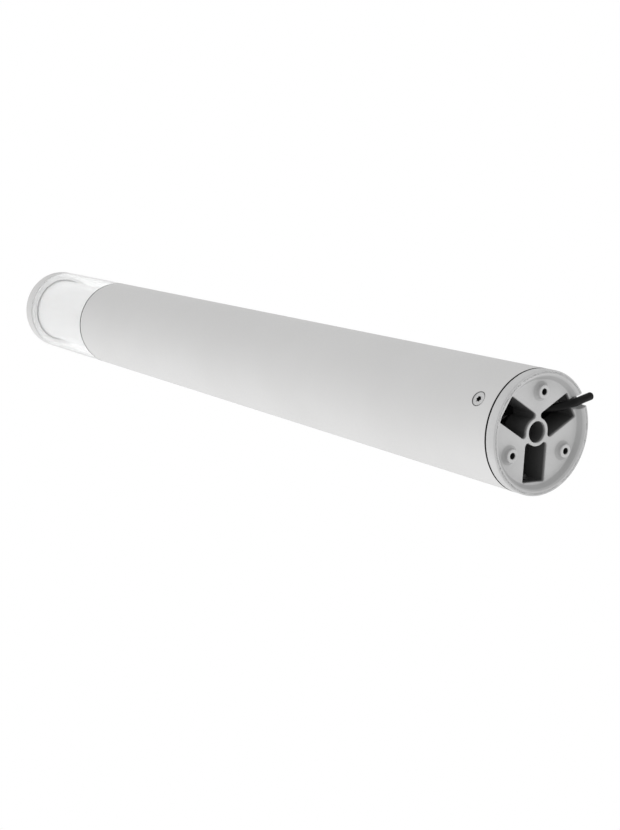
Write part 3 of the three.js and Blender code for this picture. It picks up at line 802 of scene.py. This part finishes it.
def near_screw(look, turn, radius, tip, face):
    """1 within a radius of a locking screw's axis, between two distances from the post's axis."""
    outward_ray = (math.cos(turn), math.sin(turn), 0)
    offset = {0: look.place(), 1: (0, 0, SCREW_Z * MM)}
    spot = look.node("ShaderNodeVectorMath", offset, operation="SUBTRACT").outputs[0]
    pair = {0: spot, 1: outward_ray}
    along = look.node("ShaderNodeVectorMath", pair, operation="DOT_PRODUCT").outputs["Value"]
    off = look.node("ShaderNodeVectorMath", pair, operation="CROSS_PRODUCT").outputs[0]
    away = look.node("ShaderNodeVectorMath", {0: off}, operation="LENGTH").outputs["Value"]
    near = look.ramp(away, radius * MM, 1, (radius + 0.1) * MM, 0)
    past_tip = look.ramp(along, tip * MM, 0, (tip + 0.1) * MM, 1)
    under_face = look.ramp(along, (face - 0.1) * MM, 1, face * MM, 0)
    return product(look, near, product(look, past_tip, under_face))


def silver_paint():
    """The smooth paint, with painted shade in the post's bore, the screws' holes and the joint, and painted
    light on the rings in the head.
    """
    look = Look("silver_paint", grey(0.5), 0.42)
    flakes = look.ramp(look.noise(2600, 2), 0.35, 0, 0.65, 1)
    clouds = look.ramp(look.noise(9, 3), 0.3, 0, 0.7, 1)
    tint = look.mix(clouds, (*grey(0.485, 0.006), 1), (*grey(0.515, 0.004), 1))
    speckle = look.mix(look.ramp(flakes, 0, 0, 1, 0.25), tint, (*grey(0.6), 1))
    # painted shade in the post's bore
    bore = inside(look, BORE + 0.3, 0, 1, high("post_tube").z - 0.5)
    bottom = low("post_tube").z
    # painted shade on the post's lower edge, beside the gasket
    joint = height_ramp(look, bottom + 0.15, 1, bottom + 0.35, 0)
    # painted light: the rings in the head, painted pale
    spigot = inside(look, CLEAR_BORE + 0.2, bottom, high("lower_seal").z, low("upper_seal").z)
    shade = look.mix(spigot, look.mix(bore, speckle, (*grey(PAINTED_BORE_SHADE), 1)), (*grey(HEAD_PAINTED_LIGHT), 1))
    # painted shade in the countersinks round the locking screws
    for a in WINDOW_TURNS:
        sink = near_screw(look, a, SCREW_HEAD + 0.75, SCREW_TIP, R + 1)
        shade = look.mix(sink, shade, (*grey(PAINTED_SINK_SHADE), 1))
    look.drive("Base Color", look.mix(joint, shade, (*grey(PAINTED_JOINT_SHADE), 1)))
    look.drive("Roughness", look.ramp(look.noise(400, 2), 0.3, 0.38, 0.7, 0.48))
    look.bump(look.noise(900, 2), 0.25, 0.00006)
    return look.material


def cast_paint():
    """The cast base's rougher paint, with painted shade on the recess slopes, in the wells, the holes and
    the joint, and painted light on what stands above the post.
    """
    look = Look("cast_paint", grey(0.44), 0.5)
    clouds = look.ramp(look.noise(35, 4), 0.3, 0, 0.7, 1)
    tint = look.mix(clouds, (*grey(0.41), 1), (*grey(0.46), 1))
    speckle = look.mix(look.ramp(look.noise(1800, 2), 0.4, 0, 0.7, 0.3), tint, (*grey(0.62), 1))
    # painted shade on the recess slopes
    slopes = inside(look, RIM_INNER - 0.3, 1.5, 2.2, FLOOR_BOTTOM - 0.7)
    # painted shade in the wells
    wells = inside(look, SPIGOT_RADIUS - 0.5, FLOOR_BOTTOM + 0.1, FLOOR_BOTTOM + 3.5, SPIGOT_TOP)
    shade = look.mix(slopes, speckle, (*grey(PAINTED_SLOPE_SHADE), 1))
    shade = look.mix(wells, shade, (*grey(PAINTED_WELL_SHADE), 1))
    # painted shade in the anchor holes
    for a in ANCHOR_TURNS:
        hole = inside(look, ANCHOR_HOLE + 0.1, 1.6, 2.2, SPIGOT_TOP, *at_turn(ANCHOR_CIRCLE, a))
        shade = look.mix(hole, shade, (*grey(PAINTED_DEEP_SHADE), 1))
    # painted shade on the rim's top face, beside the gasket
    shoulder = inside(look, R + 1, RIM_TOP - 0.35, RIM_TOP - 0.15, RIM_TOP + 0.1)
    inner = inside(look, SPIGOT_RADIUS - 0.5, 0, 1, SPIGOT_TOP)
    joint = product(look, shoulder, look.ramp(inner, 0, 1, 1, 0))
    shade = look.mix(joint, shade, (*grey(PAINTED_JOINT_SHADE), 1))
    # painted light on what stands above the post's top
    lip = height_ramp(look, high("post_tube").z + 0.1, 0, high("post_tube").z + 0.3, 1)
    look.drive("Base Color", look.mix(lip, shade, (*grey(HEAD_PAINTED_LIGHT), 1)))
    look.drive("Roughness", look.ramp(look.noise(300, 3), 0.3, 0.44, 0.7, 0.6))
    look.bump(look.noise(650, 4, 0.6), 0.4, 0.00012)
    return look.material


def rubber(name, color, roughness, scale, gloss=0.5):
    look = Look(name, grey(color), roughness)
    look.set("Specular IOR Level", gloss)
    shade = look.mix(look.noise(scale, 3), (*grey(color * 0.7), 1), (*grey(color * 1.4), 1))
    look.drive("Base Color", shade)
    look.drive("Roughness", look.ramp(look.noise(scale * 2, 3), 0.3, roughness - 0.08, 0.7, roughness + 0.1))
    look.bump(look.noise(scale * 3, 3), 0.3, 0.00005)
    return look.material


def metal(name, color, roughness, stretch=(1, 1, 1), scale=900, metallic=1.0, recessed=False):
    """A grained metal; in the one that is recessed, the locking screws' recesses get painted shade."""
    look = Look(name, grey(color), roughness, metallic)
    grain = look.noise(scale, 3, 0.5, stretch)
    shade = look.mix(grain, (*grey(color * 0.9), 1), (*grey(min(1, color * 1.08)), 1))
    # painted shade in the screws' star recesses
    for a in WINDOW_TURNS if recessed else ():
        recess = near_screw(look, a, STAR_OUTER + 0.15, SCREW_FACE - 3.2, SCREW_FACE - 0.15)
        shade = look.mix(recess, shade, (*grey(PAINTED_DEEP_SHADE), 1))
    look.drive("Base Color", shade)
    look.drive("Roughness", look.ramp(grain, 0.3, roughness - 0.06, 0.7, roughness + 0.1))
    look.bump(grain, 0.2, 0.00004)
    return look.material


def plastic(name, color, roughness=0.4, bump=0.2):
    look = Look(name, color, roughness)
    darker = tuple(c * 0.92 for c in color)
    look.drive("Base Color", look.mix(look.noise(60, 3), (*darker, 1), (*color, 1)))
    look.drive("Roughness", look.ramp(look.noise(700, 2), 0.3, roughness - 0.05, 0.7, roughness + 0.08))
    look.bump(look.noise(1500, 2), bump, 0.00004)
    return look.material


def clear_plastic():
    look = Look("clear_plastic", (0.985, 0.99, 0.99), 0.03)
    look.set("Transmission Weight", 1.0)
    look.set("IOR", 1.49)
    look.drive("Roughness", look.ramp(look.noise(40, 3), 0.35, 0.015, 0.75, 0.05))
    look.bump(look.noise(25, 2), 0.05, 0.0002)
    return look.material


def opal_plastic():
    look = Look("opal_plastic", (0.96, 0.945, 0.94), 0.35)
    look.set("Subsurface Weight", 0.3)
    look.set("Subsurface Radius", (0.004, 0.0036, 0.0034))
    look.set("Subsurface Scale", 1.0)
    tint = look.mix(look.noise(30, 3), (0.945, 0.93, 0.925, 1), (0.97, 0.955, 0.95, 1))
    look.drive("Base Color", tint)
    look.drive("Roughness", look.ramp(look.noise(500, 2), 0.3, 0.3, 0.7, 0.42))
    look.bump(look.noise(300, 2), 0.1, 0.00005)
    return look.material


def floor_material():
    """A pale matt floor whose underside lets the light and the view through."""
    material = bpy.data.materials.new("pale_floor")
    material.use_nodes = True
    tree = material.node_tree
    tree.nodes.clear()
    matt = tree.nodes.new("ShaderNodeBsdfDiffuse")
    matt.inputs["Color"].default_value = (0.86, 0.86, 0.855, 1)
    nothing = tree.nodes.new("ShaderNodeBsdfTransparent")
    side = tree.nodes.new("ShaderNodeNewGeometry")
    choose = tree.nodes.new("ShaderNodeMixShader")
    output = tree.nodes.new("ShaderNodeOutputMaterial")
    tree.links.new(side.outputs["Backfacing"], choose.inputs[0])
    tree.links.new(matt.outputs[0], choose.inputs[1])
    tree.links.new(nothing.outputs[0], choose.inputs[2])
    tree.links.new(choose.outputs[0], output.inputs["Surface"])
    return material


LOOKS = {
    "silver_paint": silver_paint(),
    "cast_aluminium": cast_paint(),
    "bare_aluminium": metal("bare_aluminium", 0.72, 0.35),
    "sheet_steel": metal("sheet_steel", 0.55, 0.35, (1, 1, 0.1)),
    "stainless_steel": metal("stainless_steel", 0.55, 0.3, metallic=0.35, recessed=True),
    "zinc_steel": metal("zinc_steel", 0.6, 0.32),
    "black_rubber": rubber("black_rubber", 0.012, 0.6, 300),
    "grey_silicone": rubber("grey_silicone", 0.62, 0.55, 300),
    "cable_rubber": rubber("cable_rubber", 0.004, 0.42, 260, 0.22),
    "black_plastic": plastic("black_plastic", grey(0.02)),
    "white_plastic": plastic("white_plastic", grey(0.75)),
    "clear_plastic": clear_plastic(),
    "opal_plastic": opal_plastic(),
    "white_board": plastic("white_board", grey(0.8)),
    "phosphor_lens": plastic("phosphor_lens", (0.85, 0.7, 0.2), 0.15),
    "brown_insulation": plastic("brown_insulation", (0.12, 0.045, 0.015)),
    "blue_insulation": plastic("blue_insulation", (0.02, 0.08, 0.35)),
    "green_yellow_insulation": plastic("green_yellow_insulation", (0.3, 0.4, 0.02)),
}
SLOTS = {s["node"]: s["material_slot"] for s in frame["record"]["subparts"]}


def dress(piece, slot):
    piece.data.materials.clear()
    piece.data.materials.append(LOOKS[slot])


def stand_in(piece, node, body):
    """A fine piece takes a CAD node's place, material and body."""
    dress(piece, SLOTS[node])
    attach(piece, body)
    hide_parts(node)


# ---------------------------------------------------------------- build
for node_name, node in frame["nodes"].items():
    dress(node, SLOTS[node_name])

stand_in(make_base(), "base_casting", "base")
stand_in(node_ring("gasket_ring", "base_gasket", GASKET_WIDTH, 0.2), "base_gasket", "base")
stand_in(make_post(), "post_tube", "post")
for number, turn in enumerate(WINDOW_TURNS, 1):
    node_name = f"locking_screw_{number}"
    stand_in(make_screw(f"star_screw_{number}", turn), node_name, node_name)

stand_in(make_collar(), "head_collar", "post")
stand_in(node_ring("lower_seal_ring", "lower_seal", SEAL_WIDTH, 0.15), "lower_seal", "post")
stand_in(node_ring("clear_shell", "clear_tube", CLEAR_WALL, 0.6), "clear_tube", "post")
stand_in(node_ring("opal_shell", "opal_tube", OPAL_WALL, 0.5), "opal_tube", "post")
stand_in(node_ring("upper_seal_ring", "upper_seal", SEAL_WIDTH, 0.15), "upper_seal", "post")
stand_in(make_cap(), "top_cap", "post")

cable_path = smooth_route(CABLE_ROUTE)
cable = make_tube("rubber_cable", cable_path, CABLE_RADIUS)
stand_in(cable, "supply_cable", "base")

# ---------------------------------------------------------------- stage and light


def make_floor():
    half = 4.0
    mesh = bpy.data.meshes.new("floor")
    corners = [(-half, -half, 0), (half, -half, 0), (half, half, 0), (-half, half, 0)]
    mesh.from_pydata(corners, [], [(0, 1, 2, 3)])
    mesh.materials.append(floor_material())
    floor = link("floor", mesh)
    floor.visible_shadow = False
    floor.visible_diffuse = False
    floor.visible_glossy = False
    floor.visible_transmission = False


def from_side(turn, rise=0):
    """The direction of light from a side, in degrees round the post and above the ground."""
    flat = math.cos(math.radians(rise))
    a = math.radians(turn)
    return (flat * math.cos(a), flat * math.sin(a), math.sin(math.radians(rise)))


EVERYWHERE = (0, 0, 0)
THROUGH_CLEAR = 1.38  # what the clear plastic shows of the room behind it
IN_GLOSS = 0.38  # reflections show a dimmer room, so that the clear tube keeps its edges
LIGHT_LOBES = [
    (EVERYWHERE, 1, 0.83),
    ((0, 0, 1), 2, 1.45),
    (from_side(-118), 3, 1.1),
    (from_side(62), 3, 0.2),
    (from_side(152), 3, 0.85),
    (from_side(135, -35), 10, 0.75),
    (from_side(105, -30), 10, 0.6),
]


def make_light():
    """A room that is brighter from some sides: each lobe is (direction, sharpness, strength).

    The camera sees it plain white, and the clear plastic and reflections see it at levels of their own.
    """
    world = bpy.data.worlds.new("studio")
    bpy.context.scene.world = world
    world.use_nodes = True
    tree = world.node_tree
    background = tree.nodes["Background"]
    direction = tree.nodes.new("ShaderNodeTexCoord").outputs["Generated"]

    def math_node(operation, first, second):
        made = tree.nodes.new("ShaderNodeMath")
        made.operation = operation
        for socket, value in zip(made.inputs, (first, second)):
            if isinstance(value, bpy.types.NodeSocket):
                tree.links.new(value, socket)
            else:
                socket.default_value = value
        return made.outputs[0]

    total = 0.0
    for towards, sharpness, strength in LIGHT_LOBES:
        if not any(towards):
            total = math_node("ADD", total, strength)
            continue
        dot = tree.nodes.new("ShaderNodeVectorMath")
        dot.operation = "DOT_PRODUCT"
        tree.links.new(direction, dot.inputs[0])
        dot.inputs[1].default_value = Vector(towards).normalized()
        lobe = math_node("POWER", math_node("MAXIMUM", dot.outputs["Value"], 0.0), sharpness)
        total = math_node("ADD", total, math_node("MULTIPLY", lobe, strength))
    path = tree.nodes.new("ShaderNodeLightPath")

    def blend(share, first, second):
        kept = math_node("MULTIPLY", first, math_node("SUBTRACT", 1.0, share))
        return math_node("ADD", kept, math_node("MULTIPLY", share, second))

    total = blend(path.outputs["Is Glossy Ray"], total, math_node("MULTIPLY", total, IN_GLOSS))
    total = blend(path.outputs["Is Transmission Ray"], total, THROUGH_CLEAR)
    total = blend(path.outputs["Is Camera Ray"], total, 1.0)
    tree.links.new(total, background.inputs["Strength"])
    background.inputs["Color"].default_value = (1, 1, 1, 1)


make_floor()
make_light()
bpy.context.scene.view_settings.view_transform = "Standard"
